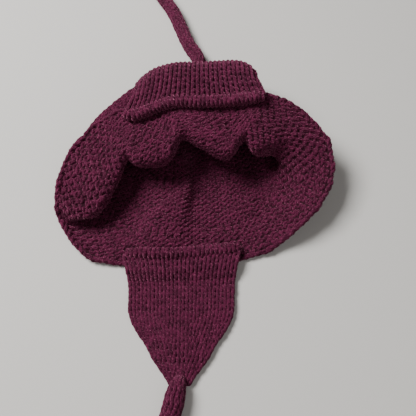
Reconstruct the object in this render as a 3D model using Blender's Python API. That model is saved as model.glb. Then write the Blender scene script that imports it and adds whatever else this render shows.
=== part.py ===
"""Hand-knitted chullo hat, lying on its side with the mouth towards -Y.

Metres, +Z up. The origin is on the flat underside of the crown, on the table. The crown is one
knitted bag: its courses run round from the mouth edge to the closed end, and its upper half is
rolled back over itself, so that the mouth gapes over a cave. Each ear flap is a thick sheet that
laps over the mouth edge, and each tie is a knitted cord from the tip of its flap.
"""

from collections import namedtuple
from math import cos, radians, sin

import bmesh
import bpy
from mathutils import Vector

# Driving dimensions
HAT_WIDTH = 0.232  # across the mouth, left fold to right wall
HAT_DEPTH = 0.178  # near mouth edge to closed end, along the table
ROLL_HEIGHT = 0.060  # what the heights of the crown are shares of
MOUTH_MIDDLE_X = -0.021
NEAR_EDGE_Y = -0.079
CROWN_WALL = 0.005
GAP = 0.0003  # between pieces that touch

LIP_ROUND = 0.006  # radius of the turn at each lip
LIP_FROM, LIP_FULL = 0.12, 0.37  # fold heights between which the wall turns from a floor into a lip
ROOF_MIDDLE, ROOF_SPREAD = 0.5, 0.8  # how soon the closed end's wall rises from floor to roof
THROAT_WIDTH = 0.169  # bag behind the lips, side fold to side fold
THROAT_MIDDLE_X = -0.0345
THROAT_DEPTH_SHARE = 0.65
THROAT_LEAN_SHARE = 0.045  # how much further back the roof's course lies than the floor's
BACK_HEIGHT = 0.020  # height of the wall's middle at the closed end, above the floor's
END_DEPTH_SHARE = 0.99

FLAP_LENGTH = 0.101
FLAP_THICKNESS = 0.006
NEAR_FLAP_WIDTH = 0.0985
NEAR_FLAP_X = -0.0313
FAR_FLAP_WIDTH = 0.120  # stretched by the rolled-back mouth edge
FAR_FLAP_X = -0.0205
FLAP_LAP = 0.008  # how far a flap laps over the crown from its mouth edge
STEP_FROM, STEP_TO = 0.03, 0.15  # share past the edge where the near flap steps down to the table
STRAIGHT_BY = 0.30  # share past the edge where it no longer follows the edge's curve
CORNER_CURL = 0.010  # how far the far flap's corners curl down and back at its fold
CURL_POWER = 8  # how tight that curl is
CURL_FULL, CURL_HOLD, CURL_END = 0.25, 0.38, 0.58  # shares past the edge

TIE_NEAR_DIAMETER = 0.0155
TIE_FAR_DIAMETER = 0.0130

EDGE_SHARE = 0.1  # share of a rib over which its pace at the mouth edge is measured
CROWN_COLUMNS, CROWN_ROWS = 72, 24
FLAP_COLUMNS, FLAP_ROWS = 12, 22
TIE_SPACING = 2.2  # diameters between the points of a tie

# Rows go round the mouth from the near middle towards +X. turn is degrees round the bag's throat,
# where -90 is the floor's middle and 90 the roof's. x is a share of half the width from the mouth's
# middle, y a share of the depth from the near edge, and z a share of the roll height.
Section = namedtuple("Section", "name turn rim_x rim_y rim_z fold_x fold_y fold_z throat_z")
SECTIONS = [
    Section("near valley", -81, 0.01, 0.005, 0.047, 0.0, 0.36, 0.042, 0.042),
    Section("near right", -68, 0.36, 0.030, 0.042, 0.26, 0.26, 0.042, 0.042),
    Section("foot right", -50, 0.61, 0.095, 0.13, 0.48, 0.235, 0.042, 0.042),
    Section("low right", -34, 0.775, 0.175, 0.30, 0.555, 0.30, 0.065, 0.05),
    Section("right wall", -20, 0.90, 0.26, 0.38, 0.60, 0.385, 0.12, 0.095),
    Section("right wall", -8, 0.975, 0.345, 0.43, 0.635, 0.455, 0.185, 0.155),
    Section("right wall", 3, 1.01, 0.455, 0.48, 0.645, 0.505, 0.30, 0.25),
    Section("right wall", 16, 0.97, 0.58, 0.57, 0.605, 0.535, 0.41, 0.32),
    Section("right shoulder", 30, 0.835, 0.69, 0.67, 0.555, 0.53, 0.505, 0.36),
    Section("right lobe", 43, 0.68, 0.76, 0.75, 0.445, 0.51, 0.595, 0.415),
    Section("right hollow", 56, 0.52, 0.78, 0.82, 0.355, 0.57, 0.70, 0.47),
    Section("middle lobe", 70, 0.28, 0.77, 0.86, 0.225, 0.485, 0.61, 0.41),
    Section("middle lobe", 84, 0.05, 0.76, 0.85, 0.05, 0.535, 0.66, 0.45),
    Section("middle hollow", 97, -0.15, 0.76, 0.825, -0.10, 0.575, 0.70, 0.48),
    Section("left lobe", 110, -0.30, 0.745, 0.78, -0.21, 0.47, 0.58, 0.39),
    Section("left lobe", 122, -0.44, 0.71, 0.73, -0.39, 0.455, 0.57, 0.39),
    Section("left hollow", 133, -0.55, 0.715, 0.70, -0.495, 0.49, 0.57, 0.385),
    Section("left roll", 144, -0.72, 0.655, 0.64, -0.57, 0.40, 0.44, 0.34),
    Section("left roll", 156, -0.89, 0.54, 0.57, -0.65, 0.30, 0.335, 0.285),
    Section("left roll", 167, -0.965, 0.415, 0.51, -0.73, 0.24, 0.275, 0.24),
    Section("roll end", 177, -0.995, 0.32, 0.43, -0.845, 0.23, 0.225, 0.19),
    Section("notch", 186, -0.99, 0.24, 0.29, -0.87, 0.245, 0.12, 0.12),
    Section("low left", 196, -0.95, 0.165, 0.20, -0.84, 0.22, 0.067, 0.058),
    Section("foot left", 212, -0.825, 0.062, 0.115, -0.71, 0.18, 0.042, 0.042),
    Section("near left", 236, -0.635, 0.010, 0.058, -0.48, 0.20, 0.042, 0.042),
    Section("floor ridge", 267, -0.19, 0.0, 0.047, -0.085, 0.38, 0.185, 0.26),
]
# Courses of the closed end: width as a share of the throat's, depth share, lowest and highest wall
# as shares of the back's height
BACK_RINGS = [(0.60, 0.895, 0.0, 1.0), (0.33, 0.965, 0.10, 0.92)]
# Share of a rib at the mouth edge, over and under the lip, at the throat, the two backs and the end
RING_AT = (0.0, 0.27, 0.34, 0.64, 0.85, 0.94, 1.0)

# Rows from the mouth edge to the tip: length and width as shares of the flap's own
FLAP_OUTLINE = [
    (0.00, 1.00), (0.08, 0.95), (0.21, 0.885), (0.33, 0.865), (0.44, 0.855), (0.51, 0.82),
    (0.60, 0.72), (0.68, 0.60), (0.76, 0.505), (0.84, 0.41), (0.90, 0.31), (0.95, 0.24), (1.00, 0.165),
]
# The far flap's fold past the mouth edge: share of what is left of it, then y and z of its middle as
# shares of the flap's length, and how far its two sides keep the mouth edge's slant in y and in z
Fold = namedtuple("Fold", "past y z slant_y slant_z")
FAR_FOLD = [
    Fold(0.000, 0.000, 0.000, 1.00, 1.00),
    Fold(0.115, 0.100, 0.030, 0.90, 1.00),
    Fold(0.215, 0.180, 0.045, 0.85, 0.95),
    Fold(0.295, 0.245, 0.030, 0.85, 0.90),
    Fold(0.385, 0.300, -0.025, 0.80, 0.80),
    Fold(0.590, 0.405, -0.190, 0.70, 0.55),
    Fold(0.795, 0.505, -0.355, 0.40, 0.25),
    Fold(0.925, 0.570, -0.460, 0.15, 0.08),
    Fold(1.000, 0.612, -0.515, 0.00, 0.00),
]
NEAR_FLAP_SPAN = (225.0, 300.0)  # turns of the crown between which a flap's seam lies
FAR_FLAP_SPAN = (130.0, 45.0)

# Each tie's route on the table, from the middle of its flap's tip
TIE_NEAR_ROUTE = [
    (-0.0012, -0.0018), (-0.0038, -0.0130), (-0.0067, -0.0255), (-0.0112, -0.0470), (-0.0150, -0.0710),
    (-0.0155, -0.0970), (-0.0125, -0.1220), (-0.0075, -0.1470),
]
TIE_FAR_ROUTE = [
    (0.0021, 0.0050), (-0.0005, 0.0155), (-0.0067, 0.0258), (-0.0121, 0.0383), (-0.0167, 0.0508),
    (-0.0210, 0.0628), (-0.0260, 0.0733), (-0.0325, 0.0843), (-0.0405, 0.0973), (-0.0495, 0.1103),
    (-0.0595, 0.1213),
]


def clear_scene():
    for item in list(bpy.data.objects):
        bpy.data.objects.remove(item, do_unlink=True)


def wool(name, colour):
    material = bpy.data.materials.new(name)
    material.use_nodes = True
    shader = material.node_tree.nodes["Principled BSDF"]
    shader.inputs["Base Color"].default_value = (*colour, 1.0)
    shader.inputs["Roughness"].default_value = 0.9
    shader.inputs["Metallic"].default_value = 0.0
    material.diffuse_color = (*colour, 1.0)
    return material


def smooth_step(value):
    value = min(max(value, 0.0), 1.0)
    return value * value * (3.0 - 2.0 * value)


def through(knots, points, at):
    """A smooth curve through the points, read at one place along the knots."""
    last = len(knots) - 1
    i = max(k for k in range(last) if knots[k] <= at or k == 0)

    def slope(k):
        a, b = max(k - 1, 0), min(k + 1, last)
        return (points[b] - points[a]) / (knots[b] - knots[a])

    width = knots[i + 1] - knots[i]
    t = (at - knots[i]) / width
    return (
        points[i] * (2 * t**3 - 3 * t**2 + 1)
        + slope(i) * (width * (t**3 - 2 * t**2 + t))
        + points[i + 1] * (3 * t**2 - 2 * t**3)
        + slope(i + 1) * (width * (t**3 - t**2))
    )


def read_table(rows, column, at):
    """One column of a table whose first column rises, read between its rows."""
    knots = [row[0] for row in rows]
    return through(knots, [row[column] for row in rows], at)


def place(across, along, height):
    """Shares of the named sizes to a point on the wall's middle, which lies on the table at lowest."""
    return Vector((
        MOUTH_MIDDLE_X + across * HAT_WIDTH / 2,
        NEAR_EDGE_Y + along * HAT_DEPTH,
        max(height * ROLL_HEIGHT, CROWN_WALL / 2),
    ))


def rib(section):
    """The points of one rib, from the mouth edge to the closed end."""
    turn = radians(section.turn)
    roof = smooth_step(ROOF_MIDDLE + ROOF_SPREAD * sin(turn))
    edge = place(section.rim_x, section.rim_y, section.rim_z)
    fold = place(section.fold_x, section.fold_y, section.fold_z)
    throat = Vector((
        THROAT_MIDDLE_X + THROAT_WIDTH / 2 * cos(turn),
        NEAR_EDGE_Y + HAT_DEPTH * (THROAT_DEPTH_SHARE + THROAT_LEAN_SHARE * sin(turn)),
        max(section.throat_z * ROLL_HEIGHT, CROWN_WALL / 2),
    ))
    lip = smooth_step((section.fold_z - LIP_FROM) / (LIP_FULL - LIP_FROM))
    over = ((throat - edge).normalized() * (1 - lip) + Vector((0, 0, -lip))) * LIP_ROUND
    backs = [
        Vector((
            THROAT_MIDDLE_X + width * THROAT_WIDTH / 2 * cos(turn),
            NEAR_EDGE_Y + depth * HAT_DEPTH,
            CROWN_WALL / 2 + BACK_HEIGHT * (low + (high - low) * roof),
        ))
        for width, depth, low, high in BACK_RINGS
    ]
    end = Vector((THROAT_MIDDLE_X, NEAR_EDGE_Y + END_DEPTH_SHARE * HAT_DEPTH, (CROWN_WALL + BACK_HEIGHT) / 2))
    return [edge, fold - over, fold + over, throat, *backs, end]


RIBS = [rib(section) for section in SECTIONS]
TURNS = [section.turn for section in SECTIONS]


def around(turn, ring):
    """A point of one ring of the ribs' points at a turn, through the ribs on either side of it."""
    count = len(RIBS)
    turn = (turn - TURNS[0]) % 360.0 + TURNS[0]
    i = max(k for k in range(count) if TURNS[k] <= turn)
    near = [j for j in range(i - 1, i + 3)]
    knots = [TURNS[j % count] + 360.0 * (j // count) for j in near]
    return through(knots, [RIBS[j % count][ring] for j in near], turn)


def crown_point(turn, share):
    """A point on the middle of the crown's wall, share 0 at the mouth edge and 1 at the closed end."""
    point = through(RING_AT, [around(turn, ring) for ring in range(len(RING_AT))], share)
    point.z = max(point.z, CROWN_WALL / 2)
    return point


def crown_normal(turn, share):
    """The unit normal towards the inside of the hat."""
    step = 0.01
    across = crown_point(turn + 100 * step, share) - crown_point(turn - 100 * step, share)
    along = crown_point(turn, share + step) - crown_point(turn, max(share - step, 0.0))
    return across.cross(along).normalized()


def rib_length(turn, upto, steps=12):
    points = [crown_point(turn, upto * i / steps) for i in range(steps + 1)]
    return sum((b - a).length for a, b in zip(points, points[1:]))


def add_object(name, mesh_or_curve, material):
    item = bpy.data.objects.new(name, mesh_or_curve)
    bpy.context.scene.collection.objects.link(item)
    item.data.materials.append(material)
    return item


def thicken(item, thickness):
    modifier = item.modifiers.new("Thickness", "SOLIDIFY")
    modifier.thickness = thickness
    modifier.offset = 0.0
    modifier.use_rim = True


def sheet(name, rows, thickness, material, closed=False, tip=None):
    """A thick sheet from rows of points. A closed one joins each row's ends, and may end in a tip."""
    work = bmesh.new()
    grid = [[work.verts.new(point) for point in row] for row in rows]
    count = len(grid[0])
    spans = count if closed else count - 1
    for lower, upper in zip(grid, grid[1:]):
        for i in range(spans):
            j = (i + 1) % count
            work.faces.new((lower[i], lower[j], upper[j], upper[i]))
    if tip is not None:
        end = work.verts.new(tip)
        for i in range(spans):
            work.faces.new((grid[-1][i], grid[-1][(i + 1) % count], end))
    mesh = bpy.data.meshes.new(name)
    work.to_mesh(mesh)
    work.free()
    item = add_object(name, mesh, material)
    thicken(item, thickness)
    mesh.shade_smooth()
    return item


def crown(material):
    rows = []
    for r in range(CROWN_ROWS):
        share = r / CROWN_ROWS
        rows.append([crown_point(TURNS[0] + 360.0 * c / CROWN_COLUMNS, share) for c in range(CROWN_COLUMNS)])
    return sheet("crown", rows, CROWN_WALL, material, closed=True, tip=crown_point(TURNS[0], 1.0))


def turn_at(x, span):
    """The turn within the span where the mouth edge passes x."""
    low, high = sorted(span, key=lambda turn: around(turn, 0).x)
    for _ in range(24):
        middle = (low + high) / 2
        low, high = (middle, high) if around(middle, 0).x < x else (low, middle)
    return low


def flap_anchor(turn, lap):
    """The flap's middle over the crown: lap 0 at its seam inside the hat, 1 at the mouth edge."""
    share = EDGE_SHARE * FLAP_LAP * (1 - lap) / rib_length(turn, EDGE_SHARE)
    stand_off = CROWN_WALL / 2 + GAP + FLAP_THICKNESS / 2
    return crown_point(turn, share) + crown_normal(turn, share) * stand_off


def flap(name, centre_x, full_width, span, past_edge, material):
    """Laps over the mouth edge and goes on as past_edge says. Gives back the middle of its tip."""
    rows = []
    lap_share = FLAP_LAP / FLAP_LENGTH
    edge = full_width * read_table(FLAP_OUTLINE, 1, lap_share)
    turns = [turn_at(centre_x + edge * (c / FLAP_COLUMNS - 0.5), span) for c in range(FLAP_COLUMNS + 1)]
    middle = flap_anchor(turn_at(centre_x, span), 1.0)
    for r in range(FLAP_ROWS + 1):
        length = r / FLAP_ROWS
        width = full_width * read_table(FLAP_OUTLINE, 1, length)
        past = max(length - lap_share, 0.0) / (1 - lap_share)
        row = []
        for c, turn in enumerate(turns):
            point = past_edge(past, flap_anchor(turn, min(length / lap_share, 1.0)), middle)
            row.append(Vector((centre_x + width * (c / FLAP_COLUMNS - 0.5), *point)))
        rows.append(row)
    sheet(name, rows, FLAP_THICKNESS, material)
    return rows[-1][FLAP_COLUMNS // 2]


def laid_out(past, anchor, middle):
    """Steps down off the mouth edge and lies flat on the table, as y and z."""
    straight = smooth_step(past / STRAIGHT_BY)
    level = smooth_step((past - STEP_FROM) / (STEP_TO - STEP_FROM))
    y = anchor.y * (1 - straight) + middle.y * straight - (FLAP_LENGTH - FLAP_LAP) * past
    return y, anchor.z * (1 - level) + FLAP_THICKNESS / 2 * level


def corner_curl(past, off_middle):
    """How far a point of the far flap curls down and back, by its distance from the flap's middle."""
    along = smooth_step(past / CURL_FULL) * (1 - smooth_step((past - CURL_HOLD) / (CURL_END - CURL_HOLD)))
    return CORNER_CURL * along * (2 * abs(off_middle) / FAR_FLAP_WIDTH) ** CURL_POWER


def folded_back(past, anchor, middle):
    """Rises from the rolled-back edge, turns over and hangs down to the table, as y and z."""
    y, z, slant_y, slant_z = (read_table(FAR_FOLD, column, past) for column in range(1, 5))
    curl = corner_curl(past, anchor.x - middle.x)
    return (
        middle.y + (anchor.y - middle.y) * slant_y + FLAP_LENGTH * y - curl,
        middle.z + (anchor.z - middle.z) * slant_z + FLAP_LENGTH * z - curl,
    )


def tie(name, tip, route, diameter, material):
    """A knitted cord laid on the table, as a tube through its route's points."""
    points = [Vector((tip.x + x, tip.y + y, diameter / 2)) for x, y in route]
    knots = [0.0]
    for a, b in zip(points, points[1:]):
        knots.append(knots[-1] + (b - a).length)
    count = max(int(knots[-1] / (TIE_SPACING * diameter)) + 1, 4)
    curve = bpy.data.curves.new(name, "CURVE")
    curve.dimensions = "3D"
    curve.bevel_depth = diameter / 2
    curve.bevel_resolution = 3
    curve.use_fill_caps = True
    line = curve.splines.new("POLY")
    line.points.add(count)
    for i, point in enumerate(line.points):
        point.co = (*through(knots, points, knots[-1] * i / count), 1.0)
    return add_object(name, curve, material)


def main():
    clear_scene()
    plum = wool("plum_wool", (0.085, 0.018, 0.045))
    crown(plum)
    near_tip = flap("ear_flap_near", NEAR_FLAP_X, NEAR_FLAP_WIDTH, NEAR_FLAP_SPAN, laid_out, plum)
    far_tip = flap("ear_flap_far", FAR_FLAP_X, FAR_FLAP_WIDTH, FAR_FLAP_SPAN, folded_back, plum)
    tie("tie_near", near_tip, TIE_NEAR_ROUTE, TIE_NEAR_DIAMETER, plum)
    tie("tie_far", far_tip, TIE_FAR_ROUTE, TIE_FAR_DIAMETER, plum)


main()
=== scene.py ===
# %% [markdown]
# # A chullo hat, knitted stitch by stitch
# The hat lies on its side with its mouth open, as it was put down. This lesson dresses the plain
# solids of the part: every stitch of the real hat is one loop of thick wool, so each is made as a
# loop of yarn here too, on the same folded cloth that the solids have. A picture of knitting on a
# smooth surface would look flat at the rim and at every fold, where real loops stand proud.

# %% Load the solids as the frame
from collections import namedtuple
from math import cos, pi, radians, sin

import bpy
import numpy as np
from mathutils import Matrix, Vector


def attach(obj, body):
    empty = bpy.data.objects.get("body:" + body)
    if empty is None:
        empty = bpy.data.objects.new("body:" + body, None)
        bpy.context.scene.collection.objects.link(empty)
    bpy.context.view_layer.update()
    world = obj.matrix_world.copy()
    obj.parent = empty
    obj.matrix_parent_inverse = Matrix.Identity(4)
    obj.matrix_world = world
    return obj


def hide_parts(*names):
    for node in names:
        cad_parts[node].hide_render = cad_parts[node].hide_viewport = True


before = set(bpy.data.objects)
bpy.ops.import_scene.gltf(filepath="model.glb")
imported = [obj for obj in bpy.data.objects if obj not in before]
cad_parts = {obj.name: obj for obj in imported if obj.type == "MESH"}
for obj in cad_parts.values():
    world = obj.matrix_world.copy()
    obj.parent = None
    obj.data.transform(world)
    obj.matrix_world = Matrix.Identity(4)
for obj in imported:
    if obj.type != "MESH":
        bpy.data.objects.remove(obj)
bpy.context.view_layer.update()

print("solids:", ", ".join(sorted(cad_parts)))

# %% [markdown]
# ## Camera
# The hat was photographed from the near side, steeply from above. A 50 mm lens half a metre from the
# hat gives the same view. The camera comes first.

# %% Camera
LENS_MM = 50
SENSOR_MM = 36
CAMERA_AT = Vector((-0.010, -0.230, 0.456))
CAMERA_AIM = Vector((-0.010, -0.025, 0.0))


def facing(where, aim):
    """The turn that points a camera or a light from one place at another."""
    return (Vector(aim) - Vector(where)).to_track_quat("-Z", "Y").to_euler()


bpy.ops.object.select_all(action="DESELECT")
bpy.ops.object.camera_add(location=CAMERA_AT, rotation=facing(CAMERA_AT, CAMERA_AIM))
camera = bpy.context.object
camera.name = "camera"
camera.data.lens = LENS_MM
camera.data.sensor_width = SENSOR_MM
bpy.context.scene.camera = camera
print("camera distance", round((CAMERA_AIM - CAMERA_AT).length, 3))

# %% [markdown]
# ## The shape of the cloth
# The solids were drawn from named sizes and a table of the hat's ribs, one row for each fold round the
# mouth. The same sizes and tables are repeated here, so that the yarn lies exactly where the solids
# are. A rib runs from the mouth edge over the lip and through the throat to the closed end.

# %% Sizes of the hat
HAT_WIDTH = 0.232  # across the mouth, left fold to right wall
HAT_DEPTH = 0.178  # near mouth edge to closed end, along the floor
ROLL_HEIGHT = 0.060  # what the heights of the crown are shares of
MOUTH_MIDDLE_X = -0.021
NEAR_EDGE_Y = -0.079
CROWN_WALL = 0.005
GAP = 0.0003  # between pieces that touch
LIP_ROUND = 0.006  # radius of the turn at each lip
LIP_FROM, LIP_FULL = 0.12, 0.37  # fold heights between which the wall turns from a floor into a lip
ROOF_MIDDLE, ROOF_SPREAD = 0.5, 0.8  # how soon the closed end's wall rises from floor to roof
THROAT_WIDTH = 0.169  # bag behind the lips, side fold to side fold
THROAT_MIDDLE_X = -0.0345
THROAT_DEPTH_SHARE = 0.65
THROAT_LEAN_SHARE = 0.045  # how much further back the roof's course lies than the floor's
BACK_HEIGHT = 0.020  # height of the wall's middle at the closed end, above the floor's
END_DEPTH_SHARE = 0.99
FLAP_LENGTH = 0.101
FLAP_THICKNESS = 0.006
NEAR_FLAP_WIDTH = 0.0985
NEAR_FLAP_X = -0.0313
FAR_FLAP_WIDTH = 0.120  # stretched by the rolled-back mouth edge
FAR_FLAP_X = -0.0205
FLAP_LAP = 0.008  # how far a flap laps over the crown from its mouth edge
STEP_FROM, STEP_TO = 0.03, 0.15  # share past the edge where the near flap steps down to the floor
STRAIGHT_BY = 0.30  # share past the edge where it no longer follows the edge's curve
CORNER_CURL = 0.010  # how far the far flap's corners curl down and back at its fold
CURL_POWER = 8  # how tight that curl is
CURL_FULL, CURL_HOLD, CURL_END = 0.25, 0.38, 0.58  # shares past the edge
TIE_NEAR_DIAMETER = 0.0155
TIE_FAR_DIAMETER = 0.0130
EDGE_SHARE = 0.1  # share of a rib over which its pace at the mouth edge is measured
print("hat", HAT_WIDTH, "m wide and", HAT_DEPTH, "m deep, flaps", FLAP_LENGTH, "m long")

# %% The table of the ribs
# Rows go round the mouth from the near middle towards +X. turn is degrees round the bag's throat,
# where -90 is the floor's middle and 90 the roof's. x is a share of half the width from the mouth's
# middle, y a share of the depth from the near edge, and z a share of the roll height.
Section = namedtuple("Section", "name turn rim_x rim_y rim_z fold_x fold_y fold_z throat_z")
SECTIONS = [
    Section("near valley", -81, 0.01, 0.005, 0.047, 0.0, 0.36, 0.042, 0.042),
    Section("near right", -68, 0.36, 0.030, 0.042, 0.26, 0.26, 0.042, 0.042),
    Section("foot right", -50, 0.61, 0.095, 0.13, 0.48, 0.235, 0.042, 0.042),
    Section("low right", -34, 0.775, 0.175, 0.30, 0.555, 0.30, 0.065, 0.05),
    Section("right wall", -20, 0.90, 0.26, 0.38, 0.60, 0.385, 0.12, 0.095),
    Section("right wall", -8, 0.975, 0.345, 0.43, 0.635, 0.455, 0.185, 0.155),
    Section("right wall", 3, 1.01, 0.455, 0.48, 0.645, 0.505, 0.30, 0.25),
    Section("right wall", 16, 0.97, 0.58, 0.57, 0.605, 0.535, 0.41, 0.32),
    Section("right shoulder", 30, 0.835, 0.69, 0.67, 0.555, 0.53, 0.505, 0.36),
    Section("right lobe", 43, 0.68, 0.76, 0.75, 0.445, 0.51, 0.595, 0.415),
    Section("right hollow", 56, 0.52, 0.78, 0.82, 0.355, 0.57, 0.70, 0.47),
    Section("middle lobe", 70, 0.28, 0.77, 0.86, 0.225, 0.485, 0.61, 0.41),
    Section("middle lobe", 84, 0.05, 0.76, 0.85, 0.05, 0.535, 0.66, 0.45),
    Section("middle hollow", 97, -0.15, 0.76, 0.825, -0.10, 0.575, 0.70, 0.48),
    Section("left lobe", 110, -0.30, 0.745, 0.78, -0.21, 0.47, 0.58, 0.39),
    Section("left lobe", 122, -0.44, 0.71, 0.73, -0.39, 0.455, 0.57, 0.39),
    Section("left hollow", 133, -0.55, 0.715, 0.70, -0.495, 0.49, 0.57, 0.385),
    Section("left roll", 144, -0.72, 0.655, 0.64, -0.57, 0.40, 0.44, 0.34),
    Section("left roll", 156, -0.89, 0.54, 0.57, -0.65, 0.30, 0.335, 0.285),
    Section("left roll", 167, -0.965, 0.415, 0.51, -0.73, 0.24, 0.275, 0.24),
    Section("roll end", 177, -0.995, 0.32, 0.43, -0.845, 0.23, 0.225, 0.19),
    Section("notch", 186, -0.99, 0.24, 0.29, -0.87, 0.245, 0.12, 0.12),
    Section("low left", 196, -0.95, 0.165, 0.20, -0.84, 0.22, 0.067, 0.058),
    Section("foot left", 212, -0.825, 0.062, 0.115, -0.71, 0.18, 0.042, 0.042),
    Section("near left", 236, -0.635, 0.010, 0.058, -0.48, 0.20, 0.042, 0.042),
    Section("floor ridge", 267, -0.19, 0.0, 0.047, -0.085, 0.38, 0.185, 0.26),
]
BACK_RINGS = [(0.60, 0.895, 0.0, 1.0), (0.33, 0.965, 0.10, 0.92)]  # width, depth, floor, roof
RING_AT = (0.0, 0.27, 0.34, 0.64, 0.85, 0.94, 1.0)  # share along a rib of each of its points
print(len(SECTIONS), "ribs in the table")


# %% Smooth curves through rows of points
def smooth_step(value):
    value = np.clip(value, 0.0, 1.0)
    return value * value * (3.0 - 2.0 * value)


def through(knots, points, at):
    """A smooth curve through the points, read at many places along the knots at once."""
    knots, points, at = np.asarray(knots, float), np.asarray(points, float), np.asarray(at, float)
    last = len(knots) - 1
    before, after = np.maximum(np.arange(last + 1) - 1, 0), np.minimum(np.arange(last + 1) + 1, last)
    spread = (-1,) + (1,) * (points.ndim - 1)
    slope = (points[after] - points[before]) / (knots[after] - knots[before]).reshape(spread)
    i = np.clip(np.searchsorted(knots, at, side="right") - 1, 0, last - 1)
    width = knots[i + 1] - knots[i]
    t = ((at - knots[i]) / width).reshape(spread)
    width = width.reshape(spread)
    return (
        points[i] * (2 * t**3 - 3 * t**2 + 1)
        + slope[i] * (width * (t**3 - 2 * t**2 + t))
        + points[i + 1] * (3 * t**2 - 2 * t**3)
        + slope[i + 1] * (width * (t**3 - t**2))
    )


def unit(vectors):
    return vectors / np.maximum(np.linalg.norm(vectors, axis=-1, keepdims=True), 1e-12)


print("a smooth step, a quarter of the way:", smooth_step(0.25))


# %% The ribs
def place(across, along, height):
    return np.array((
        MOUTH_MIDDLE_X + across * HAT_WIDTH / 2,
        NEAR_EDGE_Y + along * HAT_DEPTH,
        max(height * ROLL_HEIGHT, CROWN_WALL / 2),
    ))


def rib(section):
    """The points of one rib, from the mouth edge to the closed end."""
    turn = radians(section.turn)
    roof = smooth_step(ROOF_MIDDLE + ROOF_SPREAD * sin(turn))
    edge = place(section.rim_x, section.rim_y, section.rim_z)
    fold = place(section.fold_x, section.fold_y, section.fold_z)
    throat = np.array((
        THROAT_MIDDLE_X + THROAT_WIDTH / 2 * cos(turn),
        NEAR_EDGE_Y + HAT_DEPTH * (THROAT_DEPTH_SHARE + THROAT_LEAN_SHARE * sin(turn)),
        max(section.throat_z * ROLL_HEIGHT, CROWN_WALL / 2),
    ))
    lip = smooth_step((section.fold_z - LIP_FROM) / (LIP_FULL - LIP_FROM))
    over = (unit(throat - edge) * (1 - lip) + np.array((0, 0, -lip))) * LIP_ROUND
    backs = [
        np.array((
            THROAT_MIDDLE_X + width * THROAT_WIDTH / 2 * cos(turn),
            NEAR_EDGE_Y + depth * HAT_DEPTH,
            CROWN_WALL / 2 + BACK_HEIGHT * (low + (high - low) * roof),
        ))
        for width, depth, low, high in BACK_RINGS
    ]
    end = np.array((
        THROAT_MIDDLE_X,
        NEAR_EDGE_Y + END_DEPTH_SHARE * HAT_DEPTH,
        (CROWN_WALL + BACK_HEIGHT) / 2,
    ))
    return [edge, fold - over, fold + over, throat, *backs, end]


RIBS = np.array([rib(section) for section in SECTIONS])
TURNS = np.array([section.turn for section in SECTIONS], float)
print("rib points", RIBS.shape)

# %% [markdown]
# ## A cloth to knit on
# Knitting needs a surface that can be read anywhere: a point, and the direction that sticks out of
# the cloth there. A fine grid of both, read between its points, is the quickest way to have it.

# %% Cloth: a grid of points and normals
Cloth = namedtuple("Cloth", "points normals closed")


def make_cloth(points, closed):
    """Normals come from the grid's own directions: across (columns) crossed with along (rows)."""
    if closed:
        across = np.roll(points, -1, axis=1) - np.roll(points, 1, axis=1)
    else:
        across = np.gradient(points, axis=1)
    along = np.gradient(points, axis=0)
    return Cloth(points, unit(np.cross(across, along)), closed)


def read(cloth, across, along):
    """Points and normals at shares across and along the cloth."""
    rows, columns = cloth.points.shape[:2]
    y = np.clip(along, 0, 1) * (rows - 1)
    x = (across % 1.0) * columns if cloth.closed else np.clip(across, 0, 1) * (columns - 1)
    j = np.minimum(y.astype(int), rows - 2)
    i = np.minimum(x.astype(int), columns - 1 if cloth.closed else columns - 2)
    right = (i + 1) % columns
    fx, fy = (x - i)[..., None], (y - j)[..., None]

    def mix(grid):
        near = grid[j, i] * (1 - fx) + grid[j, right] * fx
        far = grid[j + 1, i] * (1 - fx) + grid[j + 1, right] * fx
        return near * (1 - fy) + far * fy

    return mix(cloth.points), unit(mix(cloth.normals))


print("a cloth has", ", ".join(Cloth._fields))


# %% The crown as the table gives it, by turn and share
TURN_STEPS = 720
SHARE_STEPS = 400


def ring_points(turns):
    """All rings of the ribs' points at each turn, through the ribs on either side of it."""
    knots = np.concatenate((TURNS[-2:] - 360.0, TURNS, TURNS[:2] + 360.0))
    points = np.concatenate((RIBS[-2:], RIBS, RIBS[:2]))
    return through(knots, points, (turns - TURNS[0]) % 360.0 + TURNS[0])


all_turns = TURNS[0] + 360.0 * np.arange(TURN_STEPS) / TURN_STEPS
all_shares = np.linspace(0.0, 1.0, SHARE_STEPS + 1)
grid = through(RING_AT, np.swapaxes(ring_points(all_turns), 0, 1), all_shares)
grid[..., 2] = np.maximum(grid[..., 2], CROWN_WALL / 2)
drawn_crown = make_cloth(grid, closed=True)


def crown_at(turn, share):
    return read(drawn_crown, (np.asarray(turn, float) - TURNS[0]) / 360.0, np.asarray(share, float))


print("drawn crown", drawn_crown.points.shape, "top at", grid[..., 2].max().round(4))

# %% The crown as it is knitted, by course
# Real courses are as high as each other and real stitches as wide, so the grid is spaced anew: first
# along each rib, then round each course.
STITCH_WIDE = 0.0066
STITCH_HIGH = 0.0048
COURSE_STEPS = 8  # grid rows to a course
EDGE_TRIM = 0.0022  # room for the twisted edge, so that it ends where the solid's edge does


def respaced(values, positions, count, start=0.0):
    """Values along the first axis, read at evenly spaced positions."""
    at = np.linspace(start, positions[-1], count)
    return np.stack([np.interp(at, positions, column) for column in values.T], axis=1)


def lengths_along(points):
    steps = np.linalg.norm(np.diff(points, axis=0), axis=-1)
    return np.concatenate((np.zeros((1,) + steps.shape[1:]), np.cumsum(steps, axis=0)))


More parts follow.
